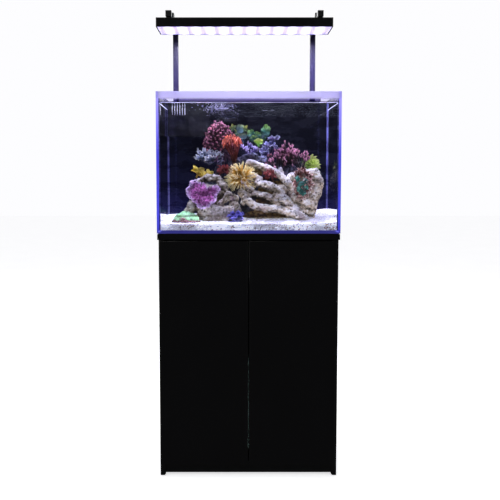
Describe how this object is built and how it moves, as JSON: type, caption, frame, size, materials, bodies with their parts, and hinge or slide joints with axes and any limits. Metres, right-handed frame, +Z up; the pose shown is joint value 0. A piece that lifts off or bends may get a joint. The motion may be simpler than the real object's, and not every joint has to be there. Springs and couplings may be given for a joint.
{
  "type": "aquarium on stand",
  "caption": "Rimless glass reef tank on a gloss cabinet with doors and a sump inside, lit by a slim lamp on bent bars clamped to the rear rim.",
  "frame": {"origin": "middle of the whole object's box, on the floor", "axes": "+Z up, -Y towards the doors and the front pane, +X to the right"},
  "size_m": [0.616, 0.478, 1.5788],
  "materials": {
    "gloss_black_board": "high-gloss black lacquer",
    "inner_black_board": "satin black board",
    "hinge_steel": "nickel-plated steel",
    "black_plastic": "satin black",
    "valve_red": "satin red",
    "pump_black": "matt black",
    "foam": "closed-cell foam",
    "clear_glass": "polished clear glass",
    "silicone": "black silicone",
    "dark_film": "black rear film",
    "weir_acrylic": "gloss black acrylic",
    "clear_acrylic": "clear acrylic",
    "sock_felt": "white felt",
    "lamp_aluminium": "black anodised satin",
    "lamp_cover": "clear cover",
    "led_white": "lit",
    "led_panel": "white board",
    "bar_metal": "gloss black coat",
    "sand": "coral sand",
    "rock": "porous rock",
    "coral": "mixed coral colours"
  },
  "bodies": {
    "stand": {"back_panel": "inner_black_board", "bar_end_plugs": "black_plastic", "base_board": "inner_black_board", "bent_bars": "bar_metal", "bulkheads": "black_plastic", "cam_fixings": "hinge_steel", "corals": "coral", "drain_pipes": "black_plastic", "floor_glides": "black_plastic", "glass_back": "clear_glass", "glass_bottom": "clear_glass", "glass_front": "clear_glass", "glass_sides": "clear_glass", "hinge_arms": "hinge_steel", "latch_bodies": "black_plastic", "levelling_mat": "foam", "plinth": "gloss_black_board", "rear_film": "dark_film", "reef_rock": "rock", "return_elbow": "black_plastic", "return_pipe": "black_plastic", "return_pump": "pump_black", "rim_clamps": "bar_metal", "sand_bed": "sand", "side_panel_left": "gloss_black_board", "side_panel_right": "gloss_black_board", "silicone_seams": "silicone", "skimmer_body": "clear_acrylic", "skimmer_pump": "pump_black", "sock_holder": "black_plastic", "sump_baffles": "clear_glass", "sump_box": "clear_glass", "top_board": "gloss_black_board", "top_rails": "inner_black_board", "valve_body": "black_plastic", "weir_box": "weir_acrylic"},
    "door_left": {"door_left": "gloss_black_board", "door_fittings_left": "hinge_steel"},
    "door_right": {"door_right": "gloss_black_board", "door_fittings_right": "hinge_steel"},
    "plunger_left": {"latch_plunger_left": "black_plastic"},
    "plunger_right": {"latch_plunger_right": "black_plastic"},
    "lamp": {"lamp_housing": "lamp_aluminium", "lamp_end_caps": "lamp_aluminium", "led_board": "led_panel", "led_chips": "led_white", "lamp_driver": "led_panel", "lamp_lens": "lamp_cover", "lamp_inlet": "black_plastic", "hanger_saddles": "lamp_aluminium"},
    "screw_left": {"clamp_screw_left": "black_plastic"},
    "screw_right": {"clamp_screw_right": "black_plastic"},
    "pad_left": {"clamp_pad_left": "silicone"},
    "pad_right": {"clamp_pad_right": "silicone"},
    "nozzle": {"return_nozzle": "black_plastic"},
    "comb": {"weir_comb": "weir_acrylic"},
    "sock": {"filter_sock": "sock_felt"},
    "cup": {"skimmer_cup": "clear_acrylic"},
    "lid": {"skimmer_lid": "black_plastic"},
    "valve": {"valve_handle": "valve_red"}
  },
  "joints": [
    {"name": "left_door_hinge", "type": "hinge", "parent": "stand", "child": "door_left", "pos_m": [-0.2835, -0.219, 0.4245], "axis": [0, 0, -1], "range_deg": [0, 105]},
    {"name": "right_door_hinge", "type": "hinge", "parent": "stand", "child": "door_right", "pos_m": [0.2995, -0.219, 0.4245], "axis": [0, 0, 1], "range_deg": [0, 105]},
    {"name": "left_latch_push", "type": "slide", "parent": "stand", "child": "plunger_left", "axis": [0, 1, 0], "range_m": [0, 0.003], "stiffness_N_per_m": 400},
    {"name": "right_latch_push", "type": "slide", "parent": "stand", "child": "plunger_right", "axis": [0, 1, 0], "range_m": [0, 0.003], "stiffness_N_per_m": 400},
    {"name": "lamp_slide", "type": "slide", "parent": "stand", "child": "lamp", "axis": [0, 1, 0], "range_m": [-0.05, 0.1]},
    {"name": "left_screw_turn", "type": "hinge", "parent": "stand", "child": "screw_left", "pos_m": [-0.265, 0.21, 1.225], "axis": [0, 1, 0], "range_deg": [0, 720]},
    {"name": "right_screw_turn", "type": "hinge", "parent": "stand", "child": "screw_right", "pos_m": [0.255, 0.21, 1.225], "axis": [0, 1, 0], "range_deg": [0, 720]},
    {"name": "left_pad_press", "type": "slide", "parent": "stand", "child": "pad_left", "axis": [0, 1, 0], "range_m": [0, 0.002]},
    {"name": "right_pad_press", "type": "slide", "parent": "stand", "child": "pad_right", "axis": [0, 1, 0], "range_m": [0, 0.002]},
    {"name": "nozzle_swivel", "type": "hinge", "parent": "stand", "child": "nozzle", "pos_m": [-0.089, 0.148, 1.205], "axis": [0, 1, 0], "range_deg": [-60, 60]},
    {"name": "comb_lift", "type": "slide", "parent": "stand", "child": "comb", "axis": [0, 0, 1], "range_m": [0, 0.05]},
    {"name": "sock_lift", "type": "slide", "parent": "stand", "child": "sock", "axis": [0, 0, 1], "range_m": [0, 0.06]},
    {"name": "cup_lift", "type": "slide", "parent": "stand", "child": "cup", "axis": [0, 0, 1], "range_m": [0, 0.06]},
    {"name": "lid_lift", "type": "slide", "parent": "cup", "child": "lid", "axis": [0, 0, 1], "range_m": [0, 0.04]},
    {"name": "valve_turn", "type": "hinge", "parent": "stand", "child": "valve", "pos_m": [-0.175, -0.05, 0.5], "axis": [0, 1, 0], "range_deg": [0, 90]}
  ],
  "couplings": [
    {"joint": "left_pad_press", "follows": "left_screw_turn", "m_per_rad": 0.00015915},
    {"joint": "right_pad_press", "follows": "right_screw_turn", "m_per_rad": 0.00015915}
  ]
}
